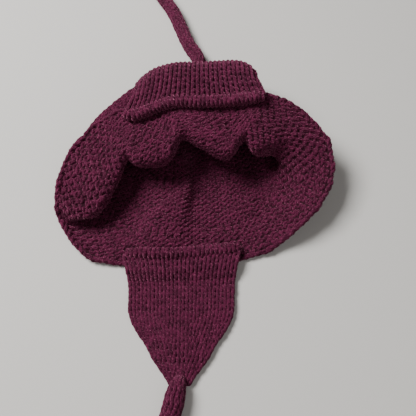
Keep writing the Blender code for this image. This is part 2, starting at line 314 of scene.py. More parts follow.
rib_lengths = lengths_along(grid)
CROWN_COURSES = int(round(rib_lengths[-1].mean() / STITCH_HIGH))
level = CROWN_COURSES * COURSE_STEPS + 1
even = np.stack(
    [respaced(grid[:, k], rib_lengths[:, k], level, EDGE_TRIM) for k in range(TURN_STEPS)],
    axis=1,
)
shortest, longest = rib_lengths[-1].min().round(3), rib_lengths[-1].max().round(3)
print("courses", CROWN_COURSES, "ribs", shortest, "to", longest, "m")

# %% The crown as it is knitted, by wale
WALE_STEPS = 960  # grid columns round the bag
DRIFT = 3.0  # courses over which a wale's place is evened out
round_trip = np.concatenate((even, even[:, :1]), axis=1)
course_lengths = lengths_along(np.swapaxes(round_trip, 0, 1))
rounds = course_lengths[-1]  # how long each round is
shares_round = course_lengths / np.maximum(rounds, 1e-9)
shares_round[:, -1] = np.linspace(0, 1, TURN_STEPS + 1)
turn_steps = np.arange(TURN_STEPS + 1)
wale_places = np.stack([
    np.interp(np.arange(WALE_STEPS) / WALE_STEPS, shares_round[:, row], turn_steps)
    for row in range(level)
])
reach = int(3 * DRIFT * COURSE_STEPS)
kernel = np.exp(-0.5 * (np.arange(-reach, reach + 1) / (DRIFT * COURSE_STEPS)) ** 2)
kernel /= kernel.sum()
padded = np.pad(wale_places, ((reach, reach), (0, 0)), mode="edge")
wale_places = sum(weight * padded[k:k + level] for k, weight in enumerate(kernel))
knitted = np.stack([
    np.stack([np.interp(wale_places[row], turn_steps, column) for column in round_trip[row].T], axis=1)
    for row in range(level)
])
knitted_crown = make_cloth(knitted, closed=True)
knitted_crown.normals[-1] = unit(knitted_crown.normals[-2].mean(axis=0))
print("mouth", rounds[0].round(3), "m round")

# %% [markdown]
# ## Yarn
# A course of plain knitting is one strand that climbs and dips once a stitch. Seen from its knit side,
# the two legs of each loop show as a V. Seen from the other, purl side, only the heads and feet of the
# loops show, as rows of small bumps. Both come from one curve: sideways it swings twice a stitch, up
# and down once, and through the cloth twice. The strand is a tube of six sides round that curve: a
# bevelled curve object would do the same for one course, but plain mesh code keeps a texture map
# along the strand and is quicker for thousands of stitches.

# %% One strand of yarn as a tube
YARN_SIDES = 6
STITCH_SAMPLES = 12
BLUNT_END = 0.05  # what is left of a strand's width at its ends
MAP_NAME = "strand"
draw = np.random.default_rng(11)


def tube(centres, outs, radii, closed):
    """Rings of points round a strand, its faces as quads, and a map: metres along it, share round it."""
    if closed:
        tangents = unit(np.roll(centres, -1, axis=0) - np.roll(centres, 1, axis=0))
    else:
        tangents = unit(np.gradient(centres, axis=0))
    first = unit(outs - (outs * tangents).sum(axis=1, keepdims=True) * tangents)
    second = np.cross(tangents, first)
    angles = 2 * pi * np.arange(YARN_SIDES) / YARN_SIDES
    rings = centres[:, None] + radii[:, None, None] * (
        np.cos(angles)[None, :, None] * first[:, None] + np.sin(angles)[None, :, None] * second[:, None]
    )
    count = len(centres)
    spans = count if closed else count - 1
    i, j = np.meshgrid(np.arange(spans), np.arange(YARN_SIDES), indexing="ij")
    i, j = i.ravel(), j.ravel()
    here, after = i * YARN_SIDES, (i + 1) % count * YARN_SIDES
    next_j = (j + 1) % YARN_SIDES
    quads = np.stack((here + j, here + next_j, after + next_j, after + j), axis=1)
    steps = np.linalg.norm(np.roll(centres, -1, axis=0) - centres, axis=1)
    walked = np.concatenate(([0.0], np.cumsum(steps)))
    corners = np.stack([
        np.stack((walked[i + step], (j + side) / YARN_SIDES), 1)
        for step, side in ((0, 0), (0, 1), (1, 1), (1, 0))
    ], axis=1)
    points = rings.reshape(-1, 3)
    if not closed:
        # an end ring is shrunk to a blunt point
        points[:YARN_SIDES] = centres[0] + (points[:YARN_SIDES] - centres[0]) * BLUNT_END
        points[-YARN_SIDES:] = centres[-1] + (points[-YARN_SIDES:] - centres[-1]) * BLUNT_END
    return points, quads, corners


print("a strand has", YARN_SIDES, "sides, and a stitch", STITCH_SAMPLES, "rings")


# %% Many strands as one piece
def new_piece(name, mesh, material):
    """An object of wool that moves with the hat."""
    mesh.materials.append(material)
    piece = bpy.data.objects.new(name, mesh)
    bpy.context.scene.collection.objects.link(piece)
    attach(piece, "root")
    return piece


def strands_to_piece(name, strands, material):
    """One mesh from many strands, smooth shaded, with its map."""
    offset, points, quads, corners = 0, [], [], []
    for strand_points, strand_quads, strand_corners in strands:
        points.append(strand_points)
        quads.append(strand_quads + offset)
        corners.append(strand_corners)
        offset += len(strand_points)
    points, quads, corners = np.concatenate(points), np.concatenate(quads), np.concatenate(corners)
    points[:, 2] = np.maximum(points[:, 2], 0.0)
    mesh = bpy.data.meshes.new(name)
    mesh.vertices.add(len(points))
    mesh.vertices.foreach_set("co", points.ravel())
    mesh.loops.add(quads.size)
    mesh.loops.foreach_set("vertex_index", quads.ravel().astype(np.int32))
    mesh.polygons.add(len(quads))
    mesh.polygons.foreach_set("loop_start", np.arange(0, quads.size, 4, dtype=np.int32))
    mesh.polygons.foreach_set("use_smooth", np.ones(len(quads), bool))
    strand_map = mesh.uv_layers.new(name=MAP_NAME)
    strand_map.data.foreach_set("uv", corners.reshape(-1))
    mesh.update(calc_edges=True)
    mesh.validate()
    print(name, len(quads) * 2, "triangles")
    return new_piece(name, mesh, material)


# %% One course of stitches
# radius is the strand's, swing and climb are shares of a stitch, depth is how far it goes through the
# cloth to each side.
Gauge = namedtuple("Gauge", "radius swing climb depth")
CROWN_GAUGE = Gauge(radius=0.00154, swing=0.16, climb=0.86, depth=0.00095)
FLAP_GAUGE = Gauge(radius=0.00165, swing=0.16, climb=0.86, depth=0.00125)
TIE_GAUGE = FLAP_GAUGE._replace(depth=0.0007)
WELT_GAUGE = FLAP_GAUGE._replace(radius=0.0018, depth=0.0007)
UNEVEN_CLIMB, UNEVEN_PLACE, UNEVEN_THICKNESS = 0.10, 0.18, 0.09


def uneven(count, amount):
    """A value for each stitch, and between them, as no hand pulls every loop alike."""
    values = 1.0 + amount * draw.standard_normal(count + 1)
    part = np.arange(STITCH_SAMPLES) / STITCH_SAMPLES
    return (values[:-1, None] * (1 - part) + values[1:, None] * part).ravel()


def course(cloth, borders, middle, height, gauge, purl_out, closed):
    """The strand of one course. borders are its stitches' shares across, middle its share along."""
    count = len(borders) - 1
    phase = 2 * pi * np.arange(STITCH_SAMPLES) / STITCH_SAMPLES
    left, wide = np.asarray(borders[:-1])[:, None], np.diff(borders)[:, None]
    swing = phase / (2 * pi) + gauge.swing * np.sin(2 * phase)
    across = (left + wide * swing).ravel()
    climb = np.tile(-gauge.climb * np.cos(phase), count) * uneven(count, UNEVEN_CLIMB)
    along = middle + height * (climb + 0.5 * (uneven(count, UNEVEN_PLACE) - 1.0))
    points, normals = read(cloth, across, along)
    lift = gauge.depth * np.tile(np.cos(2 * phase), count) * (1.0 if purl_out else -1.0)
    radii = gauge.radius * uneven(count, UNEVEN_THICKNESS)
    return tube(points + normals * lift[:, None], normals, radii, closed)


for place_name, gauge in (("crown", CROWN_GAUGE), ("flaps", FLAP_GAUGE)):
    print(place_name, "yarn", round(2000 * gauge.radius, 2), "mm thick")

# %% [markdown]
# ## Wool
# The yarn is a thick plum wool of three plies. The plies show as fine slanted grooves along each
# strand, fibres stand off it and catch the light, and the dye took unevenly. Modelled plies would be
# three times the mesh, so the grooves are a bump that follows the strand's own map, with painted shade
# darkening the colour in each groove. The fibres that catch the light are painted as pale flecks, a
# painted highlight. The flecks and the dye follow the object's coordinates. Sheen gives the soft pale
# edge of wool.

# %% Small helpers for shader nodes
def link_all(tree, *pairs):
    for source, target in pairs:
        tree.links.new(source, target)


def math_node(tree, operation, first, second=None):
    node = tree.nodes.new("ShaderNodeMath")
    node.operation = operation
    for socket, value in zip(node.inputs, (first, second)):
        if value is None:
            continue
        if isinstance(value, (int, float)):
            socket.default_value = value
        else:
            tree.links.new(value, socket)
    return node.outputs[0]


def noise(tree, where, scale, detail):
    node = tree.nodes.new("ShaderNodeTexNoise")
    for socket, value in (("Scale", scale), ("Detail", detail), ("Roughness", 0.6)):
        node.inputs[socket].default_value = value
    tree.links.new(where, node.inputs["Vector"])
    return node.outputs["Fac"]


def ramp(tree, factor, low, high, start, end):
    """A colour ramp between two colours, from one share of the factor to another."""
    node = tree.nodes.new("ShaderNodeValToRGB")
    for element, position, colour in zip(node.color_ramp.elements, (start, end), (low, high)):
        element.position, element.color = position, (*colour, 1.0)
    tree.links.new(factor, node.inputs["Fac"])
    return node.outputs["Color"]


# %% The wool material
PLY_LENGTH = 0.0075
PLIES = 3
PLY_DEPTH = 1.3  # of the bump, against the fibres
# painted shade in the ply grooves: how strongly the colour is darkened there, and how dark
PLY_PAINTED_SHADE, GROOVE_SHADE_GREY = 0.45, 0.25
DYE_SCALE, DYE_FROM, DYE_TO = 170.0, 0.32, 0.68
# pale flecks for fibres that catch the light: a painted highlight, scattered by noise
FIBRE_SCALE, HIGHLIGHT_FLECK_FROM, HIGHLIGHT_FLECK_TO = 950.0, 0.55, 0.78
BUMP_STRENGTH, BUMP_DISTANCE = 0.7, 0.0005
BLACK, WHITE = (0.0, 0.0, 0.0), (1.0, 1.0, 1.0)
WOOL_FINISH = {
    "Roughness": 0.92,
    "Specular IOR Level": 0.12,
    "Sheen Weight": 0.35,
    "Sheen Roughness": 0.45,
    "Sheen Tint": (0.95, 0.30, 0.50, 1.0),
}


def wool(name, deep, bright, highlight_fleck, plied=True):
    material = bpy.data.materials.new(name)
    material.use_nodes = True
    tree = material.node_tree
    shader = tree.nodes["Principled BSDF"]
    for socket, value in WOOL_FINISH.items():
        shader.inputs[socket].default_value = value
    where = tree.nodes.new("ShaderNodeTexCoord").outputs["Object"]
    fibres = noise(tree, where, FIBRE_SCALE, 2.0)
    tone = ramp(tree, noise(tree, where, DYE_SCALE, 3.0), deep, bright, DYE_FROM, DYE_TO)
    # painted highlight: pale flecks mixed into the colour where fibres would catch the light
    highlight_speck = ramp(tree, fibres, BLACK, WHITE, HIGHLIGHT_FLECK_FROM, HIGHLIGHT_FLECK_TO)
    highlight_flecked = tree.nodes.new("ShaderNodeMixRGB")
    highlight_flecked.inputs["Color2"].default_value = (*highlight_fleck, 1.0)
    link_all(tree, (highlight_speck, highlight_flecked.inputs["Fac"]), (tone, highlight_flecked.inputs["Color1"]))
    colour, height = highlight_flecked.outputs["Color"], fibres
    if plied:
        strand = tree.nodes.new("ShaderNodeUVMap")
        strand.uv_map = MAP_NAME
        parts = tree.nodes.new("ShaderNodeSeparateXYZ")
        tree.links.new(strand.outputs["UV"], parts.inputs["Vector"])
        along = math_node(tree, "MULTIPLY", parts.outputs["X"], 2 * pi * PLIES / PLY_LENGTH)
        around = math_node(tree, "MULTIPLY", parts.outputs["Y"], 2 * pi * PLIES)
        lay = math_node(tree, "MULTIPLY", math_node(tree, "ADD", along, around), 0.5)
        groove = math_node(tree, "ABSOLUTE", math_node(tree, "SINE", lay))
        height = math_node(tree, "ADD", math_node(tree, "MULTIPLY", groove, PLY_DEPTH), fibres)
        # painted shade: the colour is darkened in each ply groove, where shade falls between the plies
        painted_groove_ramp = ramp(tree, groove, (GROOVE_SHADE_GREY,) * 3, WHITE, 0.0, 0.5)
        painted_groove_shade = tree.nodes.new("ShaderNodeMixRGB")
        painted_groove_shade.blend_type = "MULTIPLY"
        painted_groove_shade.inputs["Fac"].default_value = PLY_PAINTED_SHADE
        link_all(tree, (colour, painted_groove_shade.inputs["Color1"]), (painted_groove_ramp, painted_groove_shade.inputs["Color2"]))
        colour = painted_groove_shade.outputs["Color"]
    bump = tree.nodes.new("ShaderNodeBump")
    bump.inputs["Strength"].default_value = BUMP_STRENGTH
    bump.inputs["Distance"].default_value = BUMP_DISTANCE
    link_all(
        tree,
        (height, bump.inputs["Height"]),
        (bump.outputs["Normal"], shader.inputs["Normal"]),
        (colour, shader.inputs["Base Color"]),
    )
    return material


# %% Three wools: the yarn, its loose fibres painted lighter as a highlight, and painted shade between the loops
plum_yarn = wool(
    "plum_yarn",
    deep=(0.036, 0.0028, 0.0140), bright=(0.092, 0.0085, 0.036), highlight_fleck=(0.27, 0.055, 0.12),
)
# the loose fibres are coloured far lighter than the yarn: a painted highlight for fibres that catch the light
plum_fibre_highlight = wool(
    "plum_fibre_highlight",
    deep=(0.11, 0.016, 0.048), bright=(0.19, 0.035, 0.088), highlight_fleck=(0.30, 0.08, 0.15), plied=False,
)
# painted shade: the core sheets' wool, darker than the yarn, for the shade seen between loops
plum_shadow = wool(
    "plum_shadow",
    deep=(0.020, 0.003, 0.008), bright=(0.030, 0.006, 0.013), highlight_fleck=(0.05, 0.01, 0.02), plied=False,
)
print("wools", [material.name for material in (plum_yarn, plum_fibre_highlight, plum_shadow)])

# %% [markdown]
# ## Ties
# Each tie is a knitted cord: a few stitches worked round and round, so that V after V runs along a
# soft round tube. It starts at the tip of its ear flap and lies on the floor. A smooth cord with a bump
# would have too clean an outline, so the tie is knitted too, on a cloth that is a tube round its line,
# over a plain core that keeps light from shining through.

# %% Where the ties lie, from the middle of each flap's tip
TIE_NEAR_ROUTE = [
    (-0.0012, -0.0018), (-0.0038, -0.0130), (-0.0067, -0.0255), (-0.0112, -0.0470), (-0.0150, -0.0710),
    (-0.0155, -0.0970), (-0.0125, -0.1220), (-0.0075, -0.1470),
]
TIE_FAR_ROUTE = [
    (0.0021, 0.0050), (-0.0005, 0.0155), (-0.0067, 0.0258), (-0.0121, 0.0383), (-0.0167, 0.0508),
    (-0.0210, 0.0628), (-0.0260, 0.0733), (-0.0325, 0.0843), (-0.0405, 0.0973), (-0.0495, 0.1103),
    (-0.0595, 0.1213),
]
TIE_STITCH_HIGH = 0.0050
LEAD_SHARES = (0.90, 0.96)  # where the tie's line starts, along its flap
LEAD_THICK = 0.26  # how thick the tie is there
LEAD_GROWTH = 1.5  # diameters over which it grows to its full thickness
END_ROUND = 0.55  # diameters over which its end draws together
LEAD_RISE = 0.3  # share of its height that it starts at
TIE_LIFT = 0.0006  # what its stitches stand out past the plain cord
TIE_INSET = 1.1  # yarn radii from the cord's surface in to the middle of its stitches
TIE_TWIST = 0.02  # how unevenly its courses start, as a share of a round
TIE_CORE = 0.9  # the plain core, as a share of the stitches' own round
THINNEST = 0.03  # share of END_ROUND that the very end stops short by
TIE_RINGS = 240  # points along a tie's line
TUBE_STEPS = 48  # points round it
CORE_END_RINGS = 6.0  # rings over which a core's end is rounded
print("routes of", len(TIE_NEAR_ROUTE), "and", len(TIE_FAR_ROUTE), "points")


# %% The line of a tie and the cloth round it
def tie_line(flap, route, diameter):
    """The tie's line from inside its flap's tip, as evenly spaced points, and how thick it is there."""
    leads, _ = read(flap, np.array((0.5, 0.5)), np.array(LEAD_SHARES))
    tip = flap.points[-1, flap.points.shape[1] // 2]
    points = np.concatenate((leads, [(tip[0] + x, tip[1] + y, diameter / 2) for x, y in route]))
    knots = lengths_along(points)
    line = through(knots, points, np.linspace(0.0, knots[-1], TIE_RINGS))
    line = respaced(line, lengths_along(line), TIE_RINGS)
    walked = lengths_along(line)
    grows = LEAD_THICK + (1 - LEAD_THICK) * smooth_step(walked / (LEAD_GROWTH * diameter))
    from_end = np.clip((walked[-1] - walked) / (END_ROUND * diameter), THINNEST, 1.0)
    ends = np.sqrt(1.0 - (1.0 - from_end) ** 2)
    rising = line[:, 2] * smooth_step(LEAD_RISE + walked / diameter)
    line[:, 2] = np.maximum(rising, diameter / 2 * grows) + TIE_LIFT
    return line, walked[-1], grows * ends


def tube_cloth(line, radii):
    """A closed cloth round a line that lies on the floor. Its normals point outwards."""
    tangents = unit(np.gradient(line, axis=0))
    up = np.tile((0.0, 0.0, 1.0), (len(line), 1))
    side = unit(np.cross(up, tangents))
    up = np.cross(tangents, side)
    angles = 2 * pi * np.arange(TUBE_STEPS) / TUBE_STEPS
    outs = np.cos(angles)[None, :, None] * up[:, None] + np.sin(angles)[None, :, None] * side[:, None]
    points = line[:, None] + np.asarray(radii)[:, None, None] * outs
    return Cloth(points, outs, True)


def core_strand(line, radius):
    """A plain tube down the middle, with round ends."""
    ends = np.minimum(np.arange(len(line)), np.arange(len(line))[::-1]) / CORE_END_RINGS
    radii = radius * np.sqrt(1.0 - (1.0 - np.clip(ends, 0.02, 1.0)) ** 2)
    return tube(line, np.tile((0.0, 0.0, 1.0), (len(line), 1)), radii, closed=False)


# %% Knit one tie
def knit_tie(name, node, flap, route, diameter, around):
    """A tie of so many stitches around, that stands in for its solid."""
    line, length, thick = tie_line(flap, route, diameter)
    radius = diameter / 2 - TIE_GAUGE.radius * TIE_INSET
    rows = int(round(length / TIE_STITCH_HIGH))
    cloth = tube_cloth(line, radius * thick)
    borders = np.linspace(0.0, 1.0, around + 1)
    strands = []
    for row in range(rows):
        start = TIE_TWIST * draw.standard_normal()
        strands.append(course(cloth, borders + start, (row + 0.5) / rows, 1.0 / rows, TIE_GAUGE, False, True))
    strands.append(core_strand(line, radius * TIE_CORE * thick))
    piece = strands_to_piece(name, strands, plum_yarn)
    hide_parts(node)
    print(name, round(length, 4), "m long,", rows, "courses of", around)
    return piece


# %% [markdown]
# ## Ear flaps
# An ear flap is worked down from the hat's edge, fourteen stitches wide, and narrows to a point by
# losing a stitch at each side. The knit side, with its columns of Vs, faces up on both flaps. A cloth
# simulation could fold the far one, but rows of a table put each fold where the solid has it. A thin
# core sheet lies in the middle of the stitches, coloured darker than the yarn as painted shade for the
# dark that is seen between loops.

# %% The outline of a flap and the fold of the far one
# The outline's rows are a share of the length and of the full width. The fold's are the share past the
# mouth edge, where the flap's middle is from there in flap lengths, and how much of the edge's own
# slant is left.
FLAP_OUTLINE = [
    (0.00, 1.00), (0.08, 0.95), (0.21, 0.885), (0.33, 0.865), (0.44, 0.855), (0.51, 0.82),
    (0.60, 0.72), (0.68, 0.60), (0.76, 0.505), (0.84, 0.41), (0.90, 0.31), (0.95, 0.24), (1.00, 0.165),
]
Fold = namedtuple("Fold", "past y z slant_y slant_z")
FAR_FOLD = [
    Fold(0.000, 0.000, 0.000, 1.00, 1.00),
    Fold(0.115, 0.100, 0.030, 0.90, 1.00),
    Fold(0.215, 0.180, 0.045, 0.85, 0.95),
    Fold(0.295, 0.245, 0.030, 0.85, 0.90),
    Fold(0.385, 0.300, -0.025, 0.80, 0.80),
    Fold(0.590, 0.405, -0.190, 0.70, 0.55),
    Fold(0.795, 0.505, -0.355, 0.40, 0.25),
    Fold(0.925, 0.570, -0.460, 0.15, 0.08),
    Fold(1.000, 0.612, -0.515, 0.00, 0.00),
]
NEAR_FLAP_SPAN = (225.0, 300.0)
FAR_FLAP_SPAN = (130.0, 45.0)
FLAP_GRID_ROWS, FLAP_GRID_COLUMNS = 160, 84
EDGE_READINGS = 600  # along a flap's stretch of the mouth edge


def read_table(rows, column, at):
    table = np.array([tuple(row) for row in rows], float)
    return through(table[:, 0], table[:, column], at)


def turn_at(x, span):
    """The turn within the span where the mouth edge passes x."""
    turns = np.linspace(*span, EDGE_READINGS)
    edge, _ = crown_at(turns, 0.0 * turns)
    return np.interp(x, edge[:, 0], turns)


def edge_pace(turn, steps=12):
    """How long a rib is from the mouth edge to the edge share."""
    shares = np.linspace(0.0, EDGE_SHARE, steps + 1)
    points = np.stack([crown_at(turn, np.full(np.shape(turn), share))[0] for share in shares])
    return lengths_along(points)[-1]


def flap_anchor(turn, lap, stand_off=CROWN_WALL / 2 + GAP + FLAP_THICKNESS / 2):
    """A point over the crown's inside: lap 0 at the flap's seam, 1 at the mouth edge."""
    share = EDGE_SHARE * FLAP_LAP * (1 - lap) / edge_pace(turn)
    point, normal = crown_at(turn, share)
    return point + normal * stand_off


print("flap outline in", len(FLAP_OUTLINE), "rows, far fold in", len(FAR_FOLD))


# %% The flap past the mouth edge, and its cloth
def laid_out(past, anchor, middle):
    """y and z of a row of the near flap, so far past the mouth edge."""
    straight = smooth_step(past / STRAIGHT_BY)
    level = smooth_step((past - STEP_FROM) / (STEP_TO - STEP_FROM))
    y = anchor[:, 1] * (1 - straight) + middle[1] * straight - (FLAP_LENGTH - FLAP_LAP) * past
    return y, anchor[:, 2] * (1 - level) + FLAP_THICKNESS / 2 * level


def corner_curl(past, off_middle):
    """How far a point curls down and back."""
    along = smooth_step(past / CURL_FULL) * (1 - smooth_step((past - CURL_HOLD) / (CURL_END - CURL_HOLD)))
    return CORNER_CURL * along * (2 * np.abs(off_middle) / FAR_FLAP_WIDTH) ** CURL_POWER


def folded_back(past, anchor, middle):
    """The same for the far flap, which turns over."""
    y, z, slant_y, slant_z = (read_table(FAR_FOLD, column, [past])[0] for column in range(1, 5))
    curl = corner_curl(past, anchor[:, 0] - middle[0])
    return (
        middle[1] + (anchor[:, 1] - middle[1]) * slant_y + FLAP_LENGTH * y - curl,
        middle[2] + (anchor[:, 2] - middle[2]) * slant_z + FLAP_LENGTH * z - curl,
    )


def flap_cloth(centre_x, full_width, span, past_edge):
    """The flap's cloth, with normals on its knit side."""
    lap_share = FLAP_LAP / FLAP_LENGTH
    edge = full_width * read_table(FLAP_OUTLINE, 1, [lap_share])[0]
    across = np.arange(FLAP_GRID_COLUMNS + 1) / FLAP_GRID_COLUMNS - 0.5
    turns = turn_at(centre_x + edge * across, span)
    middle = flap_anchor(turn_at(np.array([centre_x]), span), 1.0)[0]
    rows = []
    for length in np.arange(FLAP_GRID_ROWS + 1) / FLAP_GRID_ROWS:
        width = full_width * read_table(FLAP_OUTLINE, 1, [length])[0]
        past = max(length - lap_share, 0.0) / (1 - lap_share)
        y, z = past_edge(past, flap_anchor(turns, min(length / lap_share, 1.0)), middle)
        rows.append(np.stack((centre_x + width * across, y, z), axis=1))
    points = np.array(rows)
    cloth = make_cloth(points, closed=False)
    _, inside = crown_at(turns[FLAP_GRID_COLUMNS // 2], 0.0)
    knit_side = np.sign(cloth.normals[1, FLAP_GRID_COLUMNS // 2] @ inside)
    return Cloth(points, cloth.normals * knit_side, False)


near_cloth = flap_cloth(NEAR_FLAP_X, NEAR_FLAP_WIDTH, NEAR_FLAP_SPAN, laid_out)
far_cloth = flap_cloth(FAR_FLAP_X, FAR_FLAP_WIDTH, FAR_FLAP_SPAN, folded_back)
for name, cloth in (("near", near_cloth), ("far", far_cloth)):
    print(name, "flap's tip at", cloth.points[-1, FLAP_GRID_COLUMNS // 2].round(4))

# %% Make the ties
tie_near = knit_tie("tie_near_knit", "tie_near", near_cloth, TIE_NEAR_ROUTE, TIE_NEAR_DIAMETER, 6)
tie_far = knit_tie("tie_far_knit", "tie_far", far_cloth, TIE_FAR_ROUTE, TIE_FAR_DIAMETER, 5)


# %% A core sheet in the middle of the stitches
CORE_THICKNESS = 0.0016  # thinner than a strand, so that it stays inside the stitches
MERGE_WITHIN = 1e-5
FLAP_CORE_ROWS, FLAP_CORE_COLUMNS = 40, 20
CROWN_CORE_ROWS, CROWN_CORE_COLUMNS = 56, 150


def core_sheet(name, cloth, rows, columns, node):
    """A coarser copy of the cloth, made thick. A closed one ends in one merged point."""
    grid_rows, grid_columns = cloth.points.shape[:2]
    picked_rows = np.linspace(0, grid_rows - 1, rows + 1).round().astype(int)
    if cloth.closed:
        picked_columns = (np.arange(columns) * grid_columns / columns).round().astype(int)
    else:
        picked_columns = np.linspace(0, grid_columns - 1, columns + 1).round().astype(int)
    points = cloth.points[picked_rows][:, picked_columns]
    wide = len(picked_columns)
    faces = [
        (r * wide + c, r * wide + (c + 1) % wide, (r + 1) * wide + (c + 1) % wide, (r + 1) * wide + c)
        for r in range(rows) for c in range(wide if cloth.closed else wide - 1)
    ]
    mesh = bpy.data.meshes.new(name)
    mesh.from_pydata(points.reshape(-1, 3).tolist(), [], faces)
    # the core sheet is drawn in plum_shadow, painted shade darker than the yarn
    piece = new_piece(name, mesh, plum_shadow)
    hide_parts(node)
    bpy.ops.object.select_all(action="DESELECT")
    piece.select_set(True)
    bpy.context.view_layer.objects.active = piece
    bpy.ops.object.mode_set(mode="EDIT")
    bpy.ops.mesh.select_all(action="SELECT")
    bpy.ops.mesh.remove_doubles(threshold=MERGE_WITHIN)
    bpy.ops.mesh.normals_make_consistent(inside=False)
    bpy.ops.object.mode_set(mode="OBJECT")
    thick = piece.modifiers.new("Thickness", "SOLIDIFY")
    thick.thickness = CORE_THICKNESS
    thick.offset = 0.0
    bpy.ops.object.modifier_apply(modifier=thick.name)
    bpy.ops.object.shade_smooth()
    print(name, len(piece.data.polygons), "faces")
    return piece


# %% Stitches of a flap
FLAP_COURSES = 20
FLAP_STITCHES = 14
BODY_SHARE = 0.86  # the flap's width where its sides run straight, as a share of its full width


def knit_flap(name, node, cloth, full_width):
    """The courses of a flap and its core. The tip has fewer stitches, always an even number."""
    stitch = BODY_SHARE * full_width / FLAP_STITCHES
    strands = []
    for row in range(FLAP_COURSES):
        middle = (row + 0.5) / FLAP_COURSES
        width = full_width * read_table(FLAP_OUTLINE, 1, [middle])[0]
        count = min(FLAP_STITCHES, max(2, 2 * int(round(width / stitch / 2))))
        borders = np.linspace(0.0, 1.0, count + 1)
        strands.append(course(cloth, borders, middle, 1.0 / FLAP_COURSES, FLAP_GAUGE, False, False))
    knit = strands_to_piece(name + "_knit", strands, plum_yarn)
    return knit, core_sheet(name + "_core", cloth, FLAP_CORE_ROWS, FLAP_CORE_COLUMNS, node)


near_knit, near_core = knit_flap("flap_near", "ear_flap_near", near_cloth, NEAR_FLAP_WIDTH)
far_knit, far_core = knit_flap("flap_far", "ear_flap_far", far_cloth, FAR_FLAP_WIDTH)

# %% [markdown]
# ## Welts
# Where the flap was picked up from the hat's edge, the spare edge rolls into a soft ridge, with a
# shadowed groove beside it. Thicker stitches in the flap's own cloth would show no groove, so it is a
# short knitted tube laid along the seam.

# %% The ridge along each seam
WELT_RADIUS = 0.0046
WELT_ROWS = 4
WELT_STITCH = 0.0070
WELT_RINGS = 120
WELT_LAP = -0.25  # where it lies, as a share of the lap: a little inside of the seam
WELT_OVERHANG = 0.51  # how far it goes each way, as a share of the flap's width
WELT_END, WELT_END_LENGTH = 0.55, 0.008  # how thick its ends are, and over what length
WELT_SUNK = 0.75  # how far its middle stands off the crown, as a share of its radius
WELT_INSET = 0.8  # yarn radii from its surface in to the middle of its stitches
WELT_CORE = 0.6  # share of its radius that the plain core fills


def knit_welt(name, centre_x, full_width, span):
    """The welt along one flap's seam."""
    edge = full_width * read_table(FLAP_OUTLINE, 1, [0.0])[0]
    turns = turn_at(centre_x + edge * np.linspace(-WELT_OVERHANG, WELT_OVERHANG, WELT_RINGS), span)
    line = flap_anchor(turns, WELT_LAP, CROWN_WALL / 2 + WELT_RADIUS * WELT_SUNK)
    line = respaced(line, lengths_along(line), WELT_RINGS)
    length = lengths_along(line)[-1]
    rings = np.arange(WELT_RINGS)
    ends = np.minimum(rings, rings[::-1]) / WELT_RINGS * length
    radii = WELT_RADIUS * (WELT_END + (1 - WELT_END) * smooth_step(ends / WELT_END_LENGTH))
    cloth = tube_cloth(line, radii - FLAP_GAUGE.radius * WELT_INSET)
    # the welt's stitches stand across it, so its cloth is read with the two directions swapped
    points = np.concatenate((cloth.points, cloth.points[:, :1]), axis=1)
    normals = np.concatenate((cloth.normals, cloth.normals[:, :1]), axis=1)
    turned = Cloth(np.swapaxes(points, 0, 1), np.swapaxes(normals, 0, 1), False)
    count = int(round(length / WELT_STITCH))
    borders = np.linspace(0.0, 1.0, count + 1)
    strands = [
        course(turned, borders, (row + 0.5) / WELT_ROWS, 1.0 / WELT_ROWS, WELT_GAUGE, False, False)
        for row in range(WELT_ROWS)
    ]
    strands.append(core_strand(line, WELT_RADIUS * WELT_CORE))
    return strands_to_piece(name, strands, plum_yarn)


near_welt = knit_welt("flap_near_welt", NEAR_FLAP_X, NEAR_FLAP_WIDTH, NEAR_FLAP_SPAN)
far_welt = knit_welt("flap_far_welt", FAR_FLAP_X, FAR_FLAP_WIDTH, FAR_FLAP_SPAN)

# %% [markdown]
# ## Crown
# The bag is worked in rounds from the mouth edge to its closed end, and its purl side is the inside
# that the open mouth shows. Eight wedges each lose a stitch where the bag narrows, as on the real hat,
# so each round has a multiple of eight stitches, spread evenly round it. One stitch repeated over the
# surface would stretch where the bag narrows, so each round is counted and laid on its own. The bag is
# split into a few pieces only to keep each one light.

# %% Stitches of the crown
WEDGES = 8
CROWN_PARTS = [("crown_knit_mouth", 0.30), ("crown_knit_lip", 0.62), ("crown_knit_back", 1.0)]

crown_core = core_sheet("crown_core", knitted_crown, CROWN_CORE_ROWS, CROWN_CORE_COLUMNS, "crown")
strands_by_part = {name: [] for name, _ in CROWN_PARTS}
per_wedge = int(rounds.max() / STITCH_WIDE)  # more than any wedge has; it only gets fewer
stitches = 0
for row in range(CROWN_COURSES):
    middle = (row + 0.5) / CROWN_COURSES
    around = rounds[int(middle * (level - 1))]
    per_wedge = max(1, min(per_wedge, int(round(around / STITCH_WIDE / WEDGES))))
    borders = np.arange(WEDGES * per_wedge + 1) / (WEDGES * per_wedge)
    part = next(name for name, upto in CROWN_PARTS if middle <= upto)
    strands_by_part[part].append(
        course(knitted_crown, borders, middle, 1.0 / CROWN_COURSES, CROWN_GAUGE, True, True)
    )
    stitches += WEDGES * per_wedge
for name, _ in CROWN_PARTS:
    strands_to_piece(name, strands_by_part[name], plum_yarn)
print("crown stitches", stitches)

# %% [markdown]
# ## Mouth edge
# The first course was cast on as two strands twisted round each other, which makes the hat's edge a
# firm little rope. One thick tube would look like piping, so two are wound round the edge's line.

